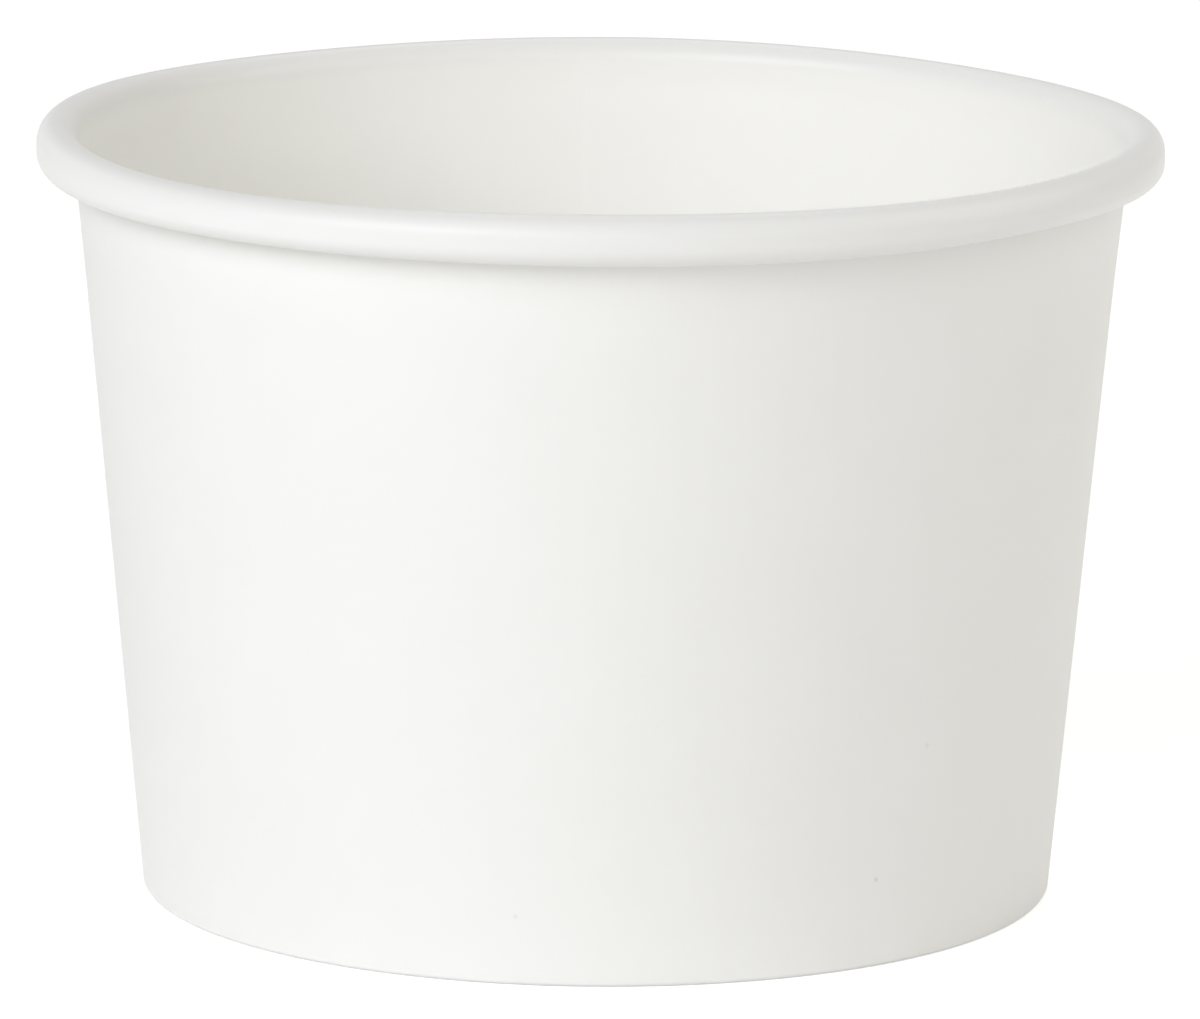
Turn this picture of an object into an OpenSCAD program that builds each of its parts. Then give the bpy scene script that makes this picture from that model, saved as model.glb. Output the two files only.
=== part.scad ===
// Paper soup bowl: a tapered paperboard wall with a rolled rim and a folded foot,
// closed by a flat paperboard bottom whose skirt is sealed inside the fold.
// Millimetres. The axis is Z and the foot stands on Z = 0.

/* [Overall size] */
// Outer diameter across the rolled rim
rim_d = 90; // [84:0.5:120]
// Outer diameter across the foot
base_d = 73; // [60:0.5:78]
// Height from the table to the top of the rim
height = 61.8; // [40:0.1:110]

/* [Paperboard] */
// Thickness of the side wall's board
wall_t = 0.45; // [0.3:0.05:0.6]
// Thickness of the bottom's board
bottom_t = 0.4; // [0.25:0.05:0.6]
// Film of sealant between the layers at the foot
seal_t = 0.03; // [0.02:0.01:0.1]

/* [Rolled rim] */
// Outer radius of the roll where the wall turns over the top
roll_r = 1.73; // [1.3:0.01:2.2]
// Straight height on the roll's outer side, between its two turns
roll_flat = 0.75; // [0.2:0.05:2]
// Space between the roll's lower turn and the wall
roll_gap = 0.15; // [0.05:0.05:0.4]
// Angle that the board turns on inside the roll, once it is past the wall
roll_tail = 40; // [5:5:90]

/* [Foot] */
// Height of the bottom's underside above the table
recess = 6.5; // [5:0.1:12]
// Outer radius of the bend between the bottom and its skirt
bend_r = 0.8; // [0.65:0.05:1.5]
// Distance from the hem's upper edge to the start of the bend
hem_gap = 1.1; // [0.5:0.1:2]

/* [Side seam] */
// Direction of the inner layer's edge, counted from +X towards +Y
seam_az = 91.5; // [0:0.5:360]
// Width of the overlap
seam_lap = 7; // [4:0.5:12]
// Angle by which the outer layer's slope starts short of its tangent line
seam_foot = 2.5; // [1.5:0.5:4]

/* [Hidden] */

// Facets of a full turn, and the largest step along an arc of a section
turn_fn = 180;
arc_step = 10;

rim_r = rim_d / 2;
base_r = base_d / 2;

// Centre of the arc that turns the wall over the top of the rim
top_c = [rim_r - roll_r, height - roll_r];
// Lean of the wall: its outer face starts at the foot's corner and runs into that arc
taper = atan2(top_c.x - base_r, top_c.y)
    - asin((roll_r - wall_t) / norm([top_c.x - base_r, top_c.y]));

// Lower turn of the roll, as large as fits between the rim's outer side and the wall
under_z = top_c.y - roll_flat;
under_r = ((rim_r - base_r) * cos(taper) - under_z * sin(taper) - roll_gap) / (1 + cos(taper));
under_c = [rim_r - under_r, under_z];

// Layers of the foot, as depths in from the wall's outer face
skirt_out = wall_t + seal_t;
skirt_in = skirt_out + bottom_t;
hem_out = skirt_in + seal_t;
hem_in = hem_out + wall_t;

// Bend of the bottom into its skirt, and the hem's upper edge below it
bend_z = recess + bottom_t - bend_r;
bend_c = [face_r(skirt_out + bend_r, bend_z), bend_z];
hem_z = bend_z - hem_gap;

// The seam seen from above: the outer layer slopes over the inner layer's edge and ends past the overlap
seam_r = face_r(0, height / 2);
seam_slope = acos(seam_r / (seam_r + wall_t));
slope_az = seam_az + seam_slope;
lap_az = seam_az - seam_lap / (PI * seam_r) * 180;
// Upper end of the outer layer, just under the roll
lap_z = under_z - under_r - roll_gap;

// Radius at height z of the line that runs parallel to the wall's outer face, a depth inside it
function face_r(depth, z) = base_r + z * tan(taper) - depth / cos(taper);
function face_pt(depth, z) = [face_r(depth, z), z];

// Points along an arc from angle a to angle b
function arc(c, r, a, b) = [
    let (n = ceil(abs(b - a) / arc_step))
    for (i = [0:n])
    let (at = a + (b - a) * i / n)
    c + r * [cos(at), sin(at)]
];

// Section of the side wall: up the sheet's inner face from the hem to the roll, and back along its outer face
function wall_section() = concat(
    [face_pt(hem_out, hem_z), face_pt(hem_out, wall_t), face_pt(wall_t, wall_t)],
    arc(top_c, roll_r, 180 - taper, 0),
    arc(under_c, under_r, 0, -180 - roll_tail),
    arc(under_c, under_r - wall_t, -180 - roll_tail, 0),
    arc(top_c, roll_r - wall_t, 0, 180 - taper),
    arc(face_pt(wall_t, wall_t), wall_t, -taper, -90),
    arc(face_pt(hem_out, wall_t), wall_t, 270, 180 - taper),
    [face_pt(hem_in, hem_z)]
);

// Section of the bottom: over its upper face and down the skirt, and back along its lower face
function bottom_section() = concat(
    [[0, recess], [0, recess + bottom_t]],
    arc(bend_c, bend_r, 90, -taper),
    [face_pt(skirt_out, wall_t), face_pt(skirt_in, wall_t)],
    arc(bend_c, bend_r - bottom_t, -taper, 90)
);

// A strip that follows the wall between two depths, two heights and two directions
module wall_strip(depth_a, depth_b, z_a, z_b, az_a, az_b) {
    strip = [face_pt(depth_a, z_a), face_pt(depth_b, z_a), face_pt(depth_b, z_b), face_pt(depth_a, z_b)];
    rotate([0, 0, az_a])
        rotate_extrude(angle = az_b - az_a, $fn = turn_fn)
            polygon(strip);
}

// All that lies outside the plane that touches the wall where the slope starts, a depth in from its outer face
module outside_slope(depth) {
    rotate([0, 0, slope_az])
        translate([base_r, 0, 0])
            rotate([0, taper, 0])
                translate([-depth, -rim_r, -height])
                    cube([rim_r, rim_d, 3 * height]);
}

// Outer layer of the overlap: a slope, the lap itself and a free edge
module lap_cover() {
    difference() {
        wall_strip(wall_t / 2, -wall_t, wall_t, lap_z, lap_az, slope_az - seam_foot);
        outside_slope(0);
    }
}

// Hollow under the outer layer's slope, which leaves the inner layer's edge standing
module lap_hollow() {
    difference() {
        wall_strip(2 * wall_t, 0, recess + bottom_t, lap_z - wall_t, seam_az, slope_az - seam_foot);
        outside_slope(wall_t);
    }
}

module side_wall() {
    color("ivory")
        difference() {
            union() {
                rotate_extrude($fn = turn_fn)
                    polygon(wall_section());
                lap_cover();
            }
            lap_hollow();
        }
}

module bottom_disc() {
    color("whitesmoke")
        rotate_extrude($fn = turn_fn)
            polygon(bottom_section());
}

side_wall();
bottom_disc();
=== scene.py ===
"""Looks of a plain white paper soup bowl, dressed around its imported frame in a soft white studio."""

import logging
import math
from dataclasses import dataclass, field, replace
from enum import Enum
from functools import cached_property
from typing import Callable, Sequence

import bmesh
import bpy
from mathutils import Matrix, Vector, noise


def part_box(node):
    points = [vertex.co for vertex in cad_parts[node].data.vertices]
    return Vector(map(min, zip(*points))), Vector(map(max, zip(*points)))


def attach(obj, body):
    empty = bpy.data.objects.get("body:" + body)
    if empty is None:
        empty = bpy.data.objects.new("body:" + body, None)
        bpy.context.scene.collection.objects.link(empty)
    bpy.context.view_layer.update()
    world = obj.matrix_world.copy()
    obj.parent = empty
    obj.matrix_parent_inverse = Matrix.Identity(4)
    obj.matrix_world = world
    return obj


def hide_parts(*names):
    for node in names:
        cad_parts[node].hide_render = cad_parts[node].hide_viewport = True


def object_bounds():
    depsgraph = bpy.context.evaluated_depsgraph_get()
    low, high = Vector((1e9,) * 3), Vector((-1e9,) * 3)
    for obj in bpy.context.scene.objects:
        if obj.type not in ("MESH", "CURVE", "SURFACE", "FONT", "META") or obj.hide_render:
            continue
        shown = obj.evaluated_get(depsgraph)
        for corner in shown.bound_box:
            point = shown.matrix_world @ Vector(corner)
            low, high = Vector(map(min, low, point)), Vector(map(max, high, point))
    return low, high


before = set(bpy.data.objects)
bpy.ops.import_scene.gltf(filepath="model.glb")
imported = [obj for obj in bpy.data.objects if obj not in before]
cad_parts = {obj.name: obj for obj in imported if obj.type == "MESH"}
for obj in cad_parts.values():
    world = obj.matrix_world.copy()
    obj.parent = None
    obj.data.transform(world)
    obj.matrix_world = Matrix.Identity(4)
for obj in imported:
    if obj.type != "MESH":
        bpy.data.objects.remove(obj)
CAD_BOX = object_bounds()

MM = 0.001
ROOT_BODY = "root"
MERGE_DISTANCE = 0.001 * MM
SHARP_ANGLE = math.radians(35.0)
AXIS = Vector((0.0, 0.0, 1.0))
AXIS_FOOT = Vector((0.0, 0.0, 0.0))
ALONG = "along"

log = logging.getLogger("soup_bowl")

Colour = tuple[float, float, float]
WHITE: Colour = (1.0, 1.0, 1.0)


class Face(Enum):
    """Surface of the board that a patch belongs to. The value is its material index."""

    OUTER = 0
    COATED = 1
    CUT = 2


def ease(low: float, high: float, at: float) -> float:
    """Blend smoothly from 0 to 1.

    Args:
        low: Value at which the blend is still 0.
        high: Value from which the blend is 1.
        at: Value to look up.

    Returns:
        The share from 0 to 1.
    """
    share = min(1.0, max(0.0, (at - low) / (high - low)))
    return share * share * (3.0 - 2.0 * share)


@dataclass(frozen=True)
class BowlSizes:
    """Sizes of the two paperboard blanks, in metres and radians."""

    rim_radius: float
    height: float
    base_radius: float = 36.5 * MM
    wall: float = 0.45 * MM
    bottom: float = 0.40 * MM
    seal: float = 0.03 * MM
    roll_radius: float = 1.73 * MM
    roll_flat: float = 0.75 * MM
    roll_gap: float = 0.15 * MM
    roll_tail: float = math.radians(40.0)
    recess: float = 6.5 * MM
    bend_radius: float = 0.8 * MM
    hem_gap: float = 1.1 * MM

    @classmethod
    def from_frame(cls) -> "BowlSizes":
        """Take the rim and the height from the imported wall."""
        low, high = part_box("side_wall")
        return cls(rim_radius=(high.x - low.x) / 2.0, height=high.z)

    @cached_property
    def top_centre(self) -> Vector:
        """Centre of the arc that turns the wall over the rim."""
        return Vector((self.rim_radius - self.roll_radius, 0.0, self.height - self.roll_radius))

    @cached_property
    def taper(self) -> float:
        """Lean of the wall, whose outer face runs from the foot's corner into the top arc."""
        across = self.top_centre.x - self.base_radius
        reach = math.hypot(across, self.top_centre.z)
        return math.atan2(across, self.top_centre.z) - math.asin((self.roll_radius - self.wall) / reach)

    @cached_property
    def under_radius(self) -> float:
        """Radius of the roll's lower turn, which fills the room between the rim and the wall."""
        lean, low = self.taper, self.top_centre.z - self.roll_flat
        across = (self.rim_radius - self.base_radius) * math.cos(lean)
        return (across - low * math.sin(lean) - self.roll_gap) / (1.0 + math.cos(lean))

    @cached_property
    def under_centre(self) -> Vector:
        """Centre of the roll's lower turn."""
        return Vector((self.rim_radius - self.under_radius, 0.0, self.top_centre.z - self.roll_flat))

    @cached_property
    def neck_height(self) -> float:
        """Height of the roll's lowest point."""
        return self.under_centre.z - self.under_radius

    @cached_property
    def skirt_depth(self) -> float:
        """Depth of the skirt's outer face, in from the wall's outer face."""
        return self.wall + self.seal

    @cached_property
    def hem_depth(self) -> float:
        """Depth of the hem's hidden face, in from the wall's outer face."""
        return self.skirt_depth + self.bottom + self.seal

    @cached_property
    def bend_height(self) -> float:
        """Height of the centre of the bend between the bottom and its skirt."""
        return self.recess + self.bottom - self.bend_radius

    @cached_property
    def hem_height(self) -> float:
        """Height of the hem's upper edge."""
        return self.bend_height - self.hem_gap

    def face_point(self, depth: float, height: float) -> Vector:
        """Find a point of a line that runs parallel to the wall's outer face.

        Args:
            depth: Distance in from the outer face.
            height: Height of the point.

        Returns:
            The point in the XZ plane.
        """
        radius = self.base_radius + height * math.tan(self.taper) - depth / math.cos(self.taper)
        return Vector((radius, 0.0, height))


class SectionPen:
    """Draws one side of a section as a chain of edges in the XZ plane."""

    arc_step = math.radians(9.0)

    def __init__(self, mesh: bmesh.types.BMesh, start: Vector) -> None:
        """Put the pen down.

        Args:
            mesh: Mesh to draw in, with a vertex layer for the length along the chain.
            start: First point of the chain.
        """
        self.mesh = mesh
        self.along = mesh.verts.layers.float[ALONG]
        self.tip = mesh.verts.new(start)
        self.length = 0.0
        self.counting = False

    def count(self) -> "SectionPen":
        """Count the length along the chain from here."""
        self.counting = True
        return self

    def _move_to(self, tip: bmesh.types.BMVert, distance: float) -> None:
        """Make a new vertex the pen's tip and note how far along the chain it is."""
        self.tip = tip
        if self.counting:
            self.length += distance
        tip[self.along] = self.length

    def line(self, end: Vector, parts: int = 1) -> "SectionPen":
        """Draw a straight line.

        Args:
            end: Point that the line runs to.
            parts: Number of edges that make it up.

        Returns:
            The pen itself.
        """
        start = self.tip.co.copy()
        for part in range(1, parts + 1):
            tip = bmesh.ops.extrude_vert_indiv(self.mesh, verts=[self.tip])["verts"][0]
            tip.co = start.lerp(end, part / parts)
            self._move_to(tip, (end - start).length / parts)
        return self

    def arc(self, centre: Vector, angle: float) -> "SectionPen":
        """Draw an arc from the tip.

        Args:
            centre: Centre of the arc.
            angle: Angle to turn by, counter-clockwise with X to the right and Z up.

        Returns:
            The pen itself.
        """
        steps = math.ceil(abs(angle) / self.arc_step)
        stride = (self.tip.co - centre).length * abs(angle) / steps
        for _ in range(steps):
            swept = bmesh.ops.spin(
                self.mesh, geom=[self.tip], cent=centre, axis=(0.0, -1.0, 0.0), angle=angle / steps, steps=1
            )
            tip = next(item for item in swept["geom_last"] if isinstance(item, bmesh.types.BMVert))
            self._move_to(tip, stride)
        return self


@dataclass(frozen=True)
class Sweep:
    """One stretch of a turn round the axis, in radians, and the number of steps that it takes."""

    angle: float
    steps: int


class TurnedSheet:
    """A closed shell of board that is turned round the axis from the chains of its section."""

    def __init__(self, sweeps: Sequence[Sweep], start: float = 0.0) -> None:
        """Start with an empty shell.

        Args:
            sweeps: Stretches of the turn that every chain makes, in order.
            start: Direction of the first section, from +X towards +Y.
        """
        self.mesh = bmesh.new()
        self.sweeps = sweeps
        self.start = Matrix.Rotation(start, 3, "Z")

    def turn(
        self,
        draw: Callable[[bmesh.types.BMesh], None],
        face: Face,
        shape: Callable[[bmesh.types.BMesh, Face], None] | None = None,
    ) -> None:
        """Draw a chain, turn it round the axis and add it to the shell.

        Args:
            draw: Draws the chain in the mesh that it is given.
            face: Surface of the board that the chain stands for.
            shape: Moves the vertices of the turned chain.
        """
        strip = bmesh.new()
        strip.verts.layers.float.new(ALONG)
        draw(strip)
        bmesh.ops.rotate(strip, verts=strip.verts[:], cent=AXIS_FOOT, matrix=self.start)
        geom = [*strip.verts, *strip.edges]
        for sweep in self.sweeps:
            swept = bmesh.ops.spin(
                strip, geom=geom, cent=AXIS_FOOT, axis=AXIS, angle=sweep.angle, steps=sweep.steps,
                use_merge=len(self.sweeps) == 1,
            )
            geom = swept["geom_last"]
        for patch in strip.faces:
            patch.material_index = face.value
            patch.smooth = True
        if shape is not None:
            shape(strip, face)
        self._add(strip)

    def _add(self, strip: bmesh.types.BMesh) -> None:
        """Move a turned strip into the shell."""
        data = bpy.data.meshes.new("strip")
        strip.to_mesh(data)
        strip.free()
        self.mesh.from_mesh(data)
        bpy.data.meshes.remove(data)

    def close(self, name: str, move: Callable[[Vector], Vector] | None = None) -> bpy.types.Object:
        """Close the shell and make it an object.

        Args:
            name: Name of the piece.
            move: Gives the distance that a point of the shell is moved by.

        Returns:
            The object, linked to the scene.
        """
        bmesh.ops.remove_doubles(self.mesh, verts=self.mesh.verts[:], dist=MERGE_DISTANCE)
        if move is not None:
            for vert in self.mesh.verts:
                vert.co += move(vert.co)
        bmesh.ops.recalc_face_normals(self.mesh, faces=self.mesh.faces[:])
        for edge in self.mesh.edges:
            edge.smooth = edge.calc_face_angle(0.0) < SHARP_ANGLE
        data = bpy.data.meshes.new(name)
        self.mesh.to_mesh(data)
        self.mesh.free()
        piece = bpy.data.objects.new(name, data)
        bpy.context.scene.collection.objects.link(piece)
        return piece


@dataclass(frozen=True)
class LapSeam:
    """The side seam: the outer layer slopes over the inner layer's edge and ends past the overlap.

    Attributes:
        thickness: Thickness of one layer.
        inner_edge: Direction of the inner layer's edge, from +X towards +Y.
        inner_width: Angle over which the coated face steps back at that edge.
        inner_press: Share of a layer's thickness that shows on the coated face.
        slope: Angle over which the outer layer rises over the edge.
        lap: Angle of the overlap.
        free_width: Angle that the outer layer's cut edge takes.
    """

    thickness: float
    inner_edge: float = math.radians(91.5)
    inner_width: float = math.radians(0.55)
    inner_press: float = 0.065
    slope: float = math.radians(8.6)
    lap: float = math.radians(10.3)
    free_width: float = math.radians(0.12)
    rest_steps: int = 200
    free_steps: int = 2
    lap_steps: int = 10
    inner_steps: int = 5
    slope_steps: int = 14

    @property
    def sweeps(self) -> list[Sweep]:
        """Stretches of a turn that starts where the slope starts and is fine at both edges."""
        rest = 2.0 * math.pi - self.slope - self.inner_width - self.lap - self.free_width
        return [
            Sweep(rest, self.rest_steps),
            Sweep(self.free_width, self.free_steps),
            Sweep(self.lap, self.lap_steps),
            Sweep(self.inner_width, self.inner_steps),
            Sweep(self.slope, self.slope_steps),
        ]

    @property
    def start(self) -> float:
        """Direction in which the turn starts."""
        return self.inner_edge + self.inner_width + self.slope

    def is_cut(self, azimuth: float) -> bool:
        """Whether a direction lies on the cut edge of the outer layer."""
        past = (self.start - azimuth) % (2.0 * math.pi) - self.slope - self.inner_width - self.lap
        return 0.0 < past < self.free_width

    def lift(self, face: Face, azimuth: float) -> float:
        """Find how far the seam moves a face outwards.

        Args:
            face: Outer or coated face of the wall.
            azimuth: Direction of the point, from +X towards +Y.

        Returns:
            The distance from the plain wall.
        """
        before = (self.start - azimuth) % (2.0 * math.pi)
        sloped = self.thickness * ease(0.0, self.slope, before)
        inner = self.slope + self.inner_width
        if face is Face.COATED:
            return self.inner_press * sloped * (1.0 - ease(self.slope, inner, before))
        free = inner + self.lap + self.free_width
        return sloped * min(1.0, max(0.0, (free - before) / self.free_width))


@dataclass(frozen=True)
class Wave:
    """A wave round the rim: its number of crests, their height and the direction of one of them."""

    crests: int
    height: float
    crest: float

    def at(self, azimuth: float) -> float:
        """Height of the wave in a direction."""
        return self.height * math.cos(self.crests * (azimuth - self.crest))


@dataclass(frozen=True)
class Tuck:
    """A stretch of the rim where the roll is pressed in: its direction, width and depth."""

    azimuth: float
    width: float
    depth: float

    def at(self, azimuth: float) -> float:
        """Depth of the tuck in a direction."""
        aside = math.remainder(azimuth - self.azimuth, 2.0 * math.pi)
        return self.depth * math.exp(-((aside / self.width) ** 2))


@dataclass(frozen=True)
class Forming:
    """The slight unevenness that wrapping, sealing and rolling leave in a thin wall.

    Attributes:
        sizes: Sizes of the blanks.
        rise: Waves of the rim in height.
        spread: Waves of the rim in radius.
        start: Height at which the waves in height start.
        tucks: Stretches where the roll's lower turn is pressed up.
        pinches: Stretches where the roll is pressed out from inside.
        bulge: How far the wall bulges below the roll.
        bulge_length: Length of the wall over which it bulges.
        fillet: How far the wall's outer face runs out to the roll.
        fillet_length: Length of the wall over which it runs out.
        fillet_fade: Height over which the run-out ends behind the roll.
        touch_share: Share of the lower turn's radius at which the run-out is largest.
        left_press: Share of the bulge and the run-out on the bowl's left side.
        press_range: Positions from left to right, in radii, between which the share grows to 1.
        ripple: Largest ripple of the wall.
        ripple_size: Size of one ripple.
    """

    sizes: BowlSizes
    rise: Sequence[Wave] = (
        Wave(1, 0.11 * MM, math.radians(150.0)),
        Wave(2, 0.10 * MM, math.radians(-36.0)),
        Wave(3, 0.055 * MM, math.radians(57.0)),
        Wave(4, 0.13 * MM, math.radians(-5.6)),
    )
    spread: Sequence[Wave] = (Wave(2, 0.12 * MM, math.radians(70.0)),)
    start: float = 9.0 * MM
    tucks: Sequence[Tuck] = (
        Tuck(math.radians(-133.0), math.radians(27.0), 0.30 * MM),
        Tuck(math.radians(-38.0), math.radians(23.0), 0.35 * MM),
    )
    pinches: Sequence[Tuck] = (
        Tuck(math.radians(180.0), math.radians(40.0), 0.26 * MM),
        Tuck(math.radians(-10.0), math.radians(35.0), 0.30 * MM),
    )
    bulge: float = 0.10 * MM
    bulge_length: float = 9.0 * MM
    fillet: float = 0.40 * MM
    fillet_length: float = 2.6 * MM
    fillet_fade: float = 0.63 * MM
    touch_share: float = 1.0 / 3.0
    left_press: float = 0.55
    press_range: tuple[float, float] = (-0.3, 0.6)
    ripple: float = 0.03 * MM
    ripple_size: float = 22.0 * MM

    def move(self, point: Vector) -> Vector:
        """Find how far a point of the wall is off the plain form.

        Args:
            point: Point of the plain form.

        Returns:
            The distance to move it by.
        """
        azimuth = math.atan2(point.y, point.x)
        out = Vector((math.cos(azimuth), math.sin(azimuth), 0.0))
        share = ease(self.start, self.sizes.height, point.z)
        neck, turn = self.sizes.neck_height, self.sizes.top_centre.z
        widened = sum(wave.at(azimuth) for wave in self.spread)
        aside = widened * ease(neck - self.fillet_length, turn, point.z)
        aside += self.ripple * share * noise.noise(point / self.ripple_size)
        up = share * sum(wave.at(azimuth) for wave in self.rise)
        tuck = sum(part.at(azimuth) for part in self.tucks)
        turned = ease(neck, turn, point.z)
        aside += turned * self._inward(point) * sum(part.at(azimuth) for part in self.pinches)
        depth = self.sizes.face_point(0.0, point.z).x - point.xy.length
        if depth > -self.sizes.roll_gap / 2.0:
            pressed = self.left_press + (1.0 - self.left_press) * ease(*self.press_range, out.x)
            aside += self.bulge * pressed * ease(neck - self.bulge_length, neck, point.z) * (1.0 - turned)
            if depth < self.sizes.wall / 2.0:
                aside += pressed * self._fillet(point.z - tuck)
        elif point.z > neck - self.sizes.roll_gap:
            up += tuck * (1.0 - turned)
        return aside * out + up * AXIS

    def _inward(self, point: Vector) -> float:
        """Find how far in from the rim a point is: 0 at the rim and 1 at the wall's inner face."""
        rim, inner = self.sizes.rim_radius, self.sizes.face_point(self.sizes.wall, point.z).x
        return min(1.0, max(0.0, (rim - point.xy.length) / (rim - inner)))

    def _fillet(self, height: float) -> float:
        """Find how far the wall's outer face runs out towards the roll.

        Args:
            height: Height on the wall.

        Returns:
            The distance from the plain wall, largest where the roll comes close to it.
        """
        touch = self.sizes.neck_height + self.touch_share * self.sizes.under_radius
        rising = min(1.0, max(0.0, 1.0 + (height - touch) / self.fillet_length))
        return self.fillet * rising ** 2 * (1.0 - ease(touch, touch + self.fillet_fade, height))


@dataclass(frozen=True)
class PaintedShade:
    """Painted shade: the share of the board's colour that is left at a length along the sheet, standing in
    for shade where less light falls.
    """

    along: float
    left: Colour


@dataclass(frozen=True)
class BoardFinish:
    """White paperboard with fine fibre, faint clouds, a few specks of darker pulp and, where set, painted
    shade along a bent stretch.

    Attributes:
        name: Name of the material.
        light: Colour where the pulp is thin.
        dense: Colour where the pulp is dense.
        roughness: Least and largest roughness.
        fibre_depth: Depth of the fibre's relief.
        sheen: Specular level of the surface.
        cloud_scale: Clouds per metre.
        cloud_detail: Finer layers in the clouds.
        cloud_range: Values of the clouds at which the two colours are pure.
        fibre_scale: Fibres per metre.
        fibre_detail: Finer layers in the fibre.
        bend: Painted shade along the sheet, in order, where it is bent: the rolled board is darkened where
            less light falls on it.
        specks: Middle of each speck, and how clearly it shows.
        speck_radius: Radius of a speck.
        speck_core: Share of that radius within which a speck shows in full.
        speck_colour: Colour of a speck.
    """

    name: str
    light: Colour
    dense: Colour
    roughness: tuple[float, float]
    fibre_depth: float
    sheen: float = 0.5
    cloud_scale: float = 120.0
    cloud_detail: float = 3.0
    cloud_range: tuple[float, float] = (0.3, 0.7)
    fibre_scale: float = 1700.0
    fibre_detail: float = 5.0
    bend: Sequence[PaintedShade] = ()
    specks: Sequence[tuple[Vector, float]] = ()
    speck_radius: float = 0.26 * MM
    speck_core: float = 0.2
    speck_colour: Colour = (0.78, 0.77, 0.68)

    def material(self) -> bpy.types.Material:
        """Make the node material of this finish."""
        made = bpy.data.materials.new(self.name)
        made.use_nodes = True
        tree = made.node_tree
        shader = tree.nodes["Principled BSDF"]
        place = tree.nodes.new("ShaderNodeTexCoord").outputs["Object"]
        clouds = self._noise(tree, place, self.cloud_scale, self.cloud_detail)
        fibre = self._noise(tree, place, self.fibre_scale, self.fibre_detail)
        colour = self._clouded(tree, clouds)
        # Painted shade on the roll, for a finish that has it.
        if self.bend:
            colour = self._paint_roll_shade(tree, colour)
        for spot, strength in self.specks:
            colour = self._speck(tree, place, colour, spot, strength)
        tree.links.new(colour, shader.inputs["Base Color"])
        shader.inputs["Specular IOR Level"].default_value = self.sheen
        gloss = tree.nodes.new("ShaderNodeMapRange")
        gloss.inputs["To Min"].default_value, gloss.inputs["To Max"].default_value = self.roughness
        tree.links.new(fibre, gloss.inputs["Value"])
        tree.links.new(gloss.outputs["Result"], shader.inputs["Roughness"])
        bump = tree.nodes.new("ShaderNodeBump")
        bump.inputs["Distance"].default_value = self.fibre_depth
        tree.links.new(fibre, bump.inputs["Height"])
        tree.links.new(bump.outputs["Normal"], shader.inputs["Normal"])
        return made

    def _noise(
        self, tree: bpy.types.NodeTree, place: bpy.types.NodeSocket, scale: float, detail: float
    ) -> bpy.types.NodeSocket:
        """Add a noise texture.

        Args:
            tree: Tree to add to.
            place: Coordinates to read.
            scale: Spots per metre.
            detail: Number of finer layers.

        Returns:
            The noise's value.
        """
        texture = tree.nodes.new("ShaderNodeTexNoise")
        texture.inputs["Scale"].default_value = scale
        texture.inputs["Detail"].default_value = detail
        tree.links.new(place, texture.inputs["Vector"])
        return texture.outputs["Fac"]

    def _clouded(self, tree: bpy.types.NodeTree, clouds: bpy.types.NodeSocket) -> bpy.types.NodeSocket:
        """Mix the light and the dense colour.

        Args:
            tree: Tree to add to.
            clouds: Texture that tells dense board from light board.

        Returns:
            The mixed colour.
        """
        ramp = tree.nodes.new("ShaderNodeValToRGB")
        tones = (self.light, self.dense)
        for stop, position, tone in zip(ramp.color_ramp.elements, self.cloud_range, tones):
            stop.position = position
            stop.color = (*tone, 1.0)
        tree.links.new(clouds, ramp.inputs["Fac"])
        return ramp.outputs["Color"]

    def _paint_roll_shade(self, tree: bpy.types.NodeTree, colour: bpy.types.NodeSocket) -> bpy.types.NodeSocket:
        """Dull a colour where the board is bent, as its coating is stretched and crazed there.

        Args:
            tree: Tree to add to.
            colour: Colour of the flat board.

        Returns:
            The colour with the painted shade on the roll.
        """
        start, end = self.bend[0].along, self.bend[-1].along
        length = tree.nodes.new("ShaderNodeAttribute")
        length.attribute_name = ALONG
        share = tree.nodes.new("ShaderNodeMapRange")
        share.inputs["From Min"].default_value = start
        share.inputs["From Max"].default_value = end
        tree.links.new(length.outputs["Fac"], share.inputs["Value"])
        ramp = tree.nodes.new("ShaderNodeValToRGB")
        ramp.color_ramp.interpolation = "EASE"
        stops = ramp.color_ramp.elements
        while len(stops) < len(self.bend):
            stops.new(0.5)
        for stop, shade_stop in zip(stops, self.bend):
            stop.position = (shade_stop.along - start) / (end - start)
            stop.color = (*shade_stop.left, 1.0)
        tree.links.new(share.outputs["Result"], ramp.inputs["Fac"])
        tint = tree.nodes.new("ShaderNodeMix")
        tint.data_type = "RGBA"
        tint.blend_type = "MULTIPLY"
        tint.inputs["Factor"].default_value = 1.0
        tree.links.new(colour, tint.inputs["A"])
        tree.links.new(ramp.outputs["Color"], tint.inputs["B"])
        return tint.outputs["Result"]

    def _speck(
        self,
        tree: bpy.types.NodeTree,
        place: bpy.types.NodeSocket,
        colour: bpy.types.NodeSocket,
        spot: Vector,
        strength: float,
    ) -> bpy.types.NodeSocket:
        """Lay one speck of darker pulp over a colour.

        Args:
            tree: Tree to add to.
            place: Coordinates to read.
            colour: Colour under the speck.
            spot: Middle of the speck.
            strength: Share of the speck's colour in its middle.

        Returns:
            The colour with the speck.
        """
        gap = tree.nodes.new("ShaderNodeVectorMath")
        gap.operation = "DISTANCE"
        gap.inputs[1].default_value = spot
        tree.links.new(place, gap.inputs[0])
        share = tree.nodes.new("ShaderNodeMapRange")
        share.inputs["From Min"].default_value = self.speck_radius
        share.inputs["From Max"].default_value = self.speck_core * self.speck_radius
        share.inputs["To Max"].default_value = strength
        tree.links.new(gap.outputs["Value"], share.inputs["Value"])
        over = tree.nodes.new("ShaderNodeMix")
        over.data_type = "RGBA"
        tree.links.new(share.outputs["Result"], over.inputs["Factor"])
        tree.links.new(colour, over.inputs["A"])
        over.inputs["B"].default_value = (*self.speck_colour, 1.0)
        return over.outputs["Result"]


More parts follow.
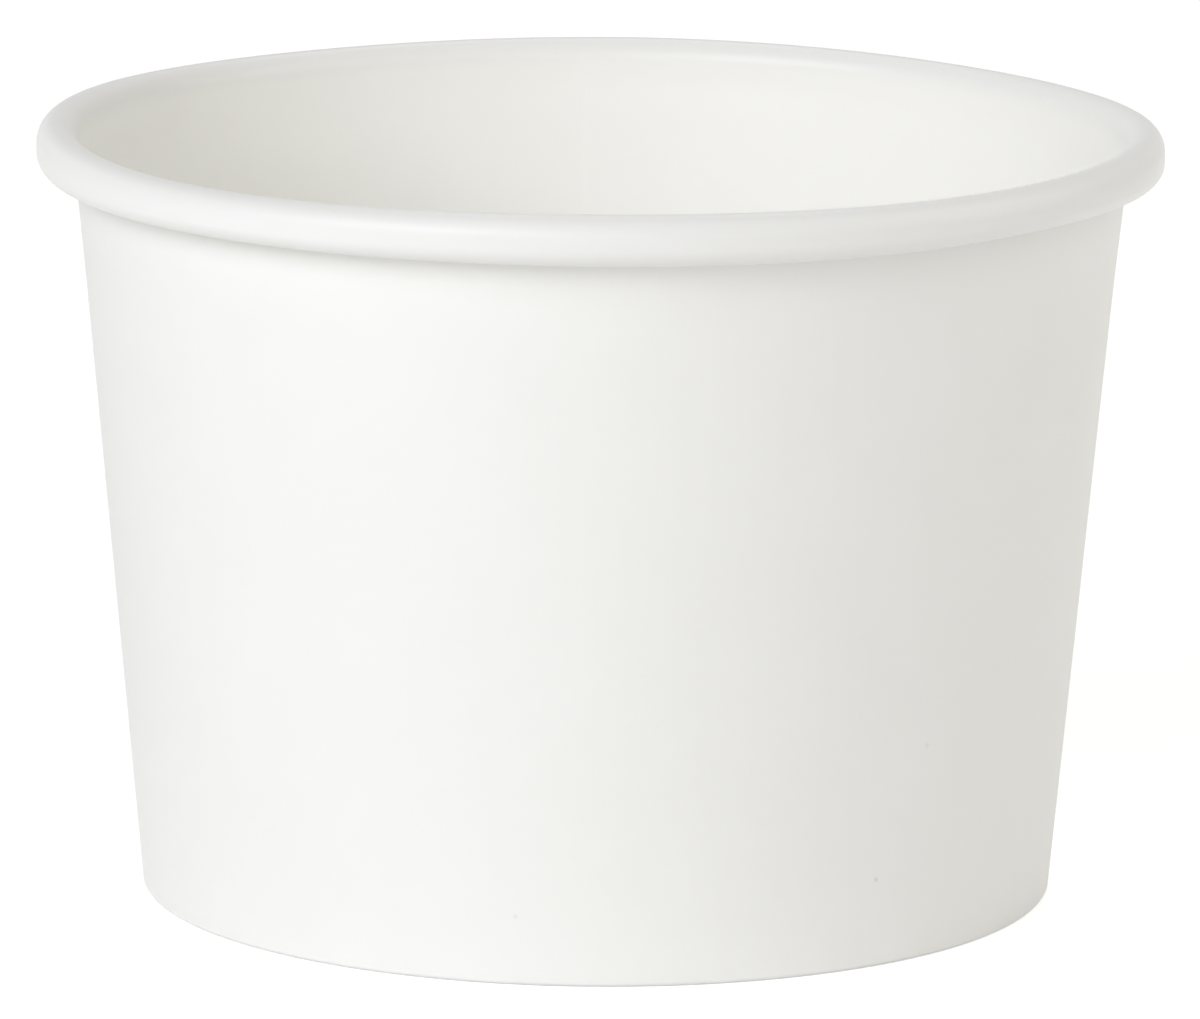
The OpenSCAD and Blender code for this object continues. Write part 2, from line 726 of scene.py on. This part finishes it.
OUTER_FINISH = BoardFinish(
    name="board_outer_face",
    light=(0.925, 0.925, 0.905),
    dense=(0.914, 0.914, 0.893),
    roughness=(0.50, 0.62),
    fibre_depth=0.006 * MM,
)
# Lighter than the outer face: partly the coating's own colour, and partly painted light that stands in for
# light coming through the thin board into the bowl.
COATED_FINISH = BoardFinish(
    name="board_coated_face",
    light=(0.972, 0.968, 0.942),
    dense=(0.966, 0.962, 0.935),
    roughness=(0.31, 0.41),
    fibre_depth=0.004 * MM,
    sheen=0.3,
)
CUT_FINISH = BoardFinish(
    name="board_cut_edge",
    light=(0.86, 0.845, 0.81),
    dense=(0.80, 0.78, 0.74),
    roughness=(0.75, 0.9),
    fibre_depth=0.015 * MM,
)


@dataclass
class BoardPiece:
    """A piece of board that stands for one node of the frame."""

    sizes: BowlSizes
    node: str
    slot: str
    finishes: tuple[BoardFinish, ...] = (OUTER_FINISH, COATED_FINISH, CUT_FINISH)

    def dress(self, piece: bpy.types.Object, materials: dict[str, bpy.types.Material]) -> None:
        """Give the piece its finishes and its place in the frame.

        Args:
            piece: The finished mesh object.
            materials: Materials made so far, by finish name.
        """
        for finish in self.finishes:
            if finish.name not in materials:
                materials[finish.name] = finish.material()
            piece.data.materials.append(materials[finish.name])
        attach(piece, ROOT_BODY)
        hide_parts(self.node)
        log.info("%s: %d faces, stands for %s", piece.name, len(piece.data.polygons), self.node)


@dataclass(frozen=True)
class Speck:
    """Place of a speck of darker pulp on the outer wall, and how clearly it shows."""

    azimuth: float
    height: float
    strength: float = 1.0

    def spot(self, sizes: BowlSizes) -> Vector:
        """Point of the wall's outer face that the speck is on."""
        return Matrix.Rotation(self.azimuth, 3, "Z") @ sizes.face_point(0.0, self.height)


@dataclass
class SideWall(BoardPiece):
    """The wrapped blank: hem, fold, tapered wall, lap seam and rolled rim in one sheet."""

    node: str = "side_wall"
    slot: str = "wall_board"
    wall_parts: int = 28
    neck_parts: int = 18
    hem_parts: int = 4
    flat_parts: int = 2
    neck_length: float = 2.5 * MM
    foot_fade: float = 1.35 * MM
    disc_fade: float = 0.90 * MM
    roll_press: float = 0.15
    # Painted shade of the roll: the rolled face is darkened along its turn where less light falls on it,
    # deepest on its top and inner slope, with a slight blue cast that paints the cool tint of its
    # highlights.
    roll_painted_shade: Sequence[PaintedShade] = (
        PaintedShade(-1.0 * MM, WHITE),
        PaintedShade(1.2 * MM, (0.905, 0.908, 0.920)),
        PaintedShade(2.6 * MM, (0.803, 0.808, 0.830)),
        PaintedShade(4.2 * MM, (0.915, 0.919, 0.931)),
        PaintedShade(6.0 * MM, (0.932, 0.936, 0.948)),
        PaintedShade(8.6 * MM, (0.960, 0.963, 0.970)),
    )
    specks: Sequence[Speck] = (
        Speck(math.radians(-54.0), 7.2 * MM),
        Speck(math.radians(-47.5), 17.5 * MM, 0.55),
        Speck(math.radians(-99.6), 5.6 * MM, 0.55),
    )
    seam: LapSeam = field(init=False)

    def __post_init__(self) -> None:
        """Set the seam's layers to the board's thickness, and the finishes to the sheet."""
        self.seam = LapSeam(self.sizes.wall)
        roll = self.sizes.top_centre.z
        # The roll's painted shade, placed along the rolled face.
        bend = [replace(part, along=roll + part.along) for part in self.roll_painted_shade]
        inside = replace(COATED_FINISH, name="board_rolled_face_painted_shade", bend=bend)
        spots = [(speck.spot(self.sizes), speck.strength) for speck in self.specks]
        outside = replace(OUTER_FINISH, name="board_specked_face", specks=spots)
        self.finishes = (outside, inside, CUT_FINISH)

    @property
    def neck_start(self) -> float:
        """Height from which the wall is cut finer, below the roll."""
        return self.sizes.neck_height - self.neck_length

    def build(self) -> bpy.types.Object:
        """Build the sheet.

        Returns:
            The wall's object.
        """
        sheet = TurnedSheet(self.seam.sweeps, self.seam.start)
        sheet.turn(self._coated_chain, Face.COATED, self._raise_seam)
        sheet.turn(self._outer_chain, Face.OUTER, self._raise_seam)
        sheet.turn(self._hem_edge, Face.CUT)
        sheet.turn(self._roll_edge, Face.CUT)
        return sheet.close("side_wall_board", Forming(self.sizes).move)

    def _coated_chain(self, mesh: bmesh.types.BMesh) -> None:
        """Draw the face that holds the food: hem, fold, wall and the outside of the roll."""
        s = self.sizes
        pen = SectionPen(mesh, s.face_point(s.hem_depth, s.hem_height))
        pen.line(s.face_point(s.hem_depth, s.wall)).line(s.face_point(s.wall, s.wall)).count()
        wall_top = s.top_centre + s.roll_radius * Vector((-math.cos(s.taper), 0.0, math.sin(s.taper)))
        pen.line(s.face_point(s.wall, self.neck_start), self.wall_parts).line(wall_top, self.neck_parts)
        pen.arc(s.top_centre, s.taper - math.pi)
        pen.line(s.under_centre + Vector((s.under_radius, 0.0, 0.0)), self.flat_parts)
        pen.arc(s.under_centre, -math.pi - s.roll_tail)

    def _outer_chain(self, mesh: bmesh.types.BMesh) -> None:
        """Draw the face that shows outside: hem, foot, wall and the inside of the roll."""
        s = self.sizes
        side = Vector((math.cos(s.taper), 0.0, -math.sin(s.taper)))
        hem_corner, wall_corner = s.face_point(s.hem_depth, s.wall), s.face_point(s.wall, s.wall)
        pen = SectionPen(mesh, s.face_point(s.hem_depth + s.wall, s.hem_height))
        pen.line(hem_corner - s.wall * side, self.hem_parts)
        pen.arc(hem_corner, math.pi / 2.0 + s.taper)
        pen.line(wall_corner - Vector((0.0, 0.0, s.wall)))
        pen.arc(wall_corner, math.pi / 2.0 - s.taper).count()
        inner_roll = s.roll_radius - s.wall
        pen.line(s.face_point(0.0, self.neck_start), self.wall_parts)
        pen.line(s.top_centre - inner_roll * side, self.neck_parts)
        pen.arc(s.top_centre, s.taper - math.pi)
        pen.line(s.under_centre + Vector((s.under_radius - s.wall, 0.0, 0.0)), self.flat_parts)
        pen.arc(s.under_centre, -math.pi - s.roll_tail)

    def _hem_edge(self, mesh: bmesh.types.BMesh) -> None:
        """Draw the cut edge on top of the hem."""
        s = self.sizes
        SectionPen(mesh, s.face_point(s.hem_depth, s.hem_height)).line(
            s.face_point(s.hem_depth + s.wall, s.hem_height)
        )

    def _roll_edge(self, mesh: bmesh.types.BMesh) -> None:
        """Draw the cut edge at the end of the roll."""
        s = self.sizes
        out = Vector((math.cos(math.pi - s.roll_tail), 0.0, math.sin(math.pi - s.roll_tail)))
        SectionPen(mesh, s.under_centre + s.under_radius * out).line(
            s.under_centre + (s.under_radius - s.wall) * out
        )

    def _seam_share(self, face: Face, along: float) -> float:
        """Find how much of the seam's step shows at a place along the sheet.

        Args:
            face: Outer or coated face.
            along: Distance along the face from the foot of the wall.

        Returns:
            The share, 0 where the layers are pressed flat.
        """
        s = self.sizes
        neck = s.neck_height
        if face is Face.OUTER:
            return ease(0.0, self.foot_fade, along) * (1.0 - ease(neck - s.wall, neck + s.wall, along))
        disc = s.recess + s.bottom
        roll_end = s.height + math.pi * s.under_radius
        share = ease(disc, disc + self.disc_fade, along)
        share *= 1.0 - (1.0 - self.roll_press) * ease(neck, s.height, along)
        return share * (1.0 - ease(roll_end, roll_end + s.under_radius, along))

    def _raise_seam(self, strip: bmesh.types.BMesh, face: Face) -> None:
        """Move a face outwards where the layers of the seam overlap.

        Args:
            strip: Turned face.
            face: Outer or coated face.
        """
        strip.normal_update()
        along = strip.verts.layers.float[ALONG]
        halfway = min(strip.verts, key=lambda vert: abs(vert.co.z - self.sizes.height / 2.0))
        sign = math.copysign(1.0, halfway.normal.xy.dot(halfway.co.xy))
        for vert in strip.verts:
            lift = self.seam.lift(face, math.atan2(vert.co.y, vert.co.x))
            if lift > 0.0:
                vert.co += sign * lift * self._seam_share(face, vert[along]) * vert.normal
        if face is Face.OUTER:
            for patch in strip.faces:
                middle = patch.calc_center_median()
                if self.seam.is_cut(math.atan2(middle.y, middle.x)) and middle.z < self.sizes.neck_height:
                    patch.material_index = Face.CUT.value


@dataclass
class BottomDisc(BoardPiece):
    """The bottom blank: a flat disc whose edge is turned down as a skirt."""

    node: str = "bottom_disc"
    slot: str = "bottom_board"
    turn_steps: int = 240
    rings: int = 16
    seal_parts: int = 3
    bend_parts: int = 2
    skirt_parts: int = 4
    sealed_from: float = math.radians(48.0)
    seal_gap: float = 0.006 * MM
    seal_drop: float = 0.10 * MM

    def build(self) -> bpy.types.Object:
        """Build the disc.

        Returns:
            The bottom's object.
        """
        sheet = TurnedSheet([Sweep(2.0 * math.pi, self.turn_steps)])
        sheet.turn(self._upper_chain, Face.COATED)
        sheet.turn(self._lower_chain, Face.OUTER)
        sheet.turn(self._skirt_edge, Face.CUT)
        return sheet.close("bottom_disc_board")

    @property
    def _bend_centre(self) -> Vector:
        """Centre of the bend into the skirt."""
        s = self.sizes
        return s.face_point(s.skirt_depth + s.bend_radius, s.bend_height)

    def _upper_chain(self, mesh: bmesh.types.BMesh) -> None:
        """Draw the face that holds the food, its seal against the wall and the outside of the skirt."""
        s = self.sizes
        pen = SectionPen(mesh, Vector((0.0, 0.0, s.recess + s.bottom)))
        pen.line(Vector((self._bend_centre.x, 0.0, s.recess + s.bottom)), self.rings)
        pen.arc(self._bend_centre, -self.sealed_from)
        pen.line(s.face_point(s.wall + self.seal_gap, pen.tip.co.z - self.seal_drop), self.seal_parts)
        pen.line(s.face_point(s.skirt_depth, s.bend_height), self.bend_parts)
        pen.line(s.face_point(s.skirt_depth, s.wall), self.skirt_parts)

    def _lower_chain(self, mesh: bmesh.types.BMesh) -> None:
        """Draw the underside, and the inside of the skirt."""
        s = self.sizes
        pen = SectionPen(mesh, Vector((0.0, 0.0, s.recess)))
        pen.line(Vector((self._bend_centre.x, 0.0, s.recess)), self.rings)
        pen.arc(self._bend_centre, -math.pi / 2.0 - s.taper)
        pen.line(s.face_point(s.skirt_depth + s.bottom, s.wall), self.skirt_parts)

    def _skirt_edge(self, mesh: bmesh.types.BMesh) -> None:
        """Draw the cut edge at the foot of the skirt."""
        s = self.sizes
        SectionPen(mesh, s.face_point(s.skirt_depth, s.wall)).line(
            s.face_point(s.skirt_depth + s.bottom, s.wall)
        )


@dataclass(frozen=True)
class PhotoCamera:
    """The camera at the photograph's viewing angle, in metres, radians and pixels."""

    distance: float = 0.8100
    height: float = 0.19458
    pitch: float = math.radians(11.462)
    yaw: float = math.radians(-0.010)
    roll: float = math.radians(0.42)
    focal_px: float = 10298.0
    frame_px: float = 1200.0

    def build(self) -> None:
        """Make the camera and hand it to the scene."""
        data = bpy.data.cameras.new("photo_camera")
        data.lens = self.focal_px / self.frame_px * data.sensor_width
        camera = bpy.data.objects.new("photo_camera", data)
        place = Matrix.Translation((0.0, -self.distance, self.height)) @ Matrix.Rotation(self.yaw, 4, "Z")
        tilt = Matrix.Rotation(math.pi / 2.0 - self.pitch, 4, "X")
        camera.matrix_world = place @ tilt @ Matrix.Rotation(self.roll, 4, "Z")
        bpy.context.scene.collection.objects.link(camera)
        bpy.context.scene.camera = camera


@dataclass(frozen=True)
class SoftLight:
    """A soft lamp that looks at the bowl, placed by direction. Power is in watts."""

    name: str
    azimuth: float
    elevation: float
    power: float
    colour: Colour = WHITE
    distance: float = 1.6
    size: float = 0.9

    def build(self, target: Vector) -> None:
        """Make the lamp.

        Args:
            target: Point that it looks at.
        """
        data = bpy.data.lights.new(self.name, "AREA")
        data.shape = "DISK"
        data.size = self.size
        data.energy = self.power
        data.color = self.colour
        lamp = bpy.data.objects.new(self.name, data)
        flat, up = math.cos(self.elevation), math.sin(self.elevation)
        away = Vector((flat * math.cos(self.azimuth), flat * math.sin(self.azimuth), up))
        lamp.location = target + self.distance * away
        lamp.rotation_euler = away.to_track_quat("Z", "Y").to_euler()
        lamp.visible_camera = False
        bpy.context.scene.collection.objects.link(lamp)


@dataclass(frozen=True)
class Studio:
    """A plain white floor under soft lamps and a white surround."""

    floor_half: float = 4.0
    floor_drop: float = 0.02 * MM
    floor_colour: Colour = (0.90, 0.90, 0.90)
    floor_glow: float = 0.50
    ambient: Colour = (0.310, 0.298, 0.266)
    lights: Sequence[SoftLight] = (
        SoftLight("key_light", math.radians(-140.0), math.radians(30.0), 8.7, colour=(0.866, 0.901, 1.0)),
        SoftLight("left_fill", math.radians(-115.0), math.radians(25.0), 6.2),
        SoftLight("front_fill", math.radians(-90.0), math.radians(10.0), 2.2),
        SoftLight("right_fill", math.radians(0.0), math.radians(30.0), 0.295, distance=0.36, size=0.3),
        SoftLight("high_fill", math.radians(90.0), math.radians(50.0), 3.5),
    )

    def build(self) -> None:
        """Make the floor, the surround and the lamps."""
        scene = bpy.context.scene
        scene.view_settings.view_transform = "Standard"
        self._floor()
        self._world()
        target = (CAD_BOX[0] + CAD_BOX[1]) / 2.0
        for light in self.lights:
            light.build(target)
            log.info("%s: %.2f W", light.name, light.power)

    def _seen_directly(self, tree: bpy.types.NodeTree) -> bpy.types.NodeSocket:
        """Add a mask for rays that show the background itself.

        Args:
            tree: Tree to add to.

        Returns:
            A value of 1 for camera, glossy and transmitted rays.
        """
        path = tree.nodes.new("ShaderNodeLightPath")
        share = path.outputs["Is Camera Ray"]
        for name in ("Is Glossy Ray", "Is Transmission Ray"):
            most = tree.nodes.new("ShaderNodeMath")
            most.operation = "MAXIMUM"
            tree.links.new(share, most.inputs[0])
            tree.links.new(path.outputs[name], most.inputs[1])
            share = most.outputs["Value"]
        return share

    def _floor(self) -> None:
        """Lay a white floor that keeps the bowl's shadow."""
        mesh = bmesh.new()
        below = Matrix.Translation((0.0, 0.0, -self.floor_drop))
        bmesh.ops.create_grid(mesh, x_segments=1, y_segments=1, size=self.floor_half, matrix=below)
        data = bpy.data.meshes.new("floor")
        mesh.to_mesh(data)
        mesh.free()
        floor = bpy.data.objects.new("floor", data)
        bpy.context.scene.collection.objects.link(floor)
        made = bpy.data.materials.new("floor_white")
        made.use_nodes = True
        tree = made.node_tree
        shader = tree.nodes["Principled BSDF"]
        shader.inputs["Base Color"].default_value = (*self.floor_colour, 1.0)
        shader.inputs["Roughness"].default_value = 1.0
        shader.inputs["Specular IOR Level"].default_value = 0.0
        shader.inputs["Emission Color"].default_value = (*WHITE, 1.0)
        glow = tree.nodes.new("ShaderNodeMath")
        glow.operation = "MULTIPLY"
        glow.inputs[1].default_value = self.floor_glow
        tree.links.new(self._seen_directly(tree), glow.inputs[0])
        tree.links.new(glow.outputs["Value"], shader.inputs["Emission Strength"])
        data.materials.append(made)

    def _world(self) -> None:
        """Make a surround that is white to look at and soft as a light."""
        world = bpy.data.worlds.new("white_surround")
        world.use_nodes = True
        tree = world.node_tree
        level = tree.nodes.new("ShaderNodeMix")
        level.data_type = "RGBA"
        level.inputs["A"].default_value = (*self.ambient, 1.0)
        level.inputs["B"].default_value = (*WHITE, 1.0)
        tree.links.new(self._seen_directly(tree), level.inputs["Factor"])
        tree.links.new(level.outputs["Result"], tree.nodes["Background"].inputs["Color"])
        bpy.context.scene.world = world


def main() -> None:
    """Build the bowl's pieces, then the studio and the camera."""
    logging.basicConfig(level=logging.INFO, format="%(name)s %(message)s")
    sizes = BowlSizes.from_frame()
    materials: dict[str, bpy.types.Material] = {}
    for part in (SideWall(sizes=sizes), BottomDisc(sizes=sizes)):
        part.dress(part.build(), materials)
    Studio().build()
    PhotoCamera().build()


if __name__ == "__main__":
    main()
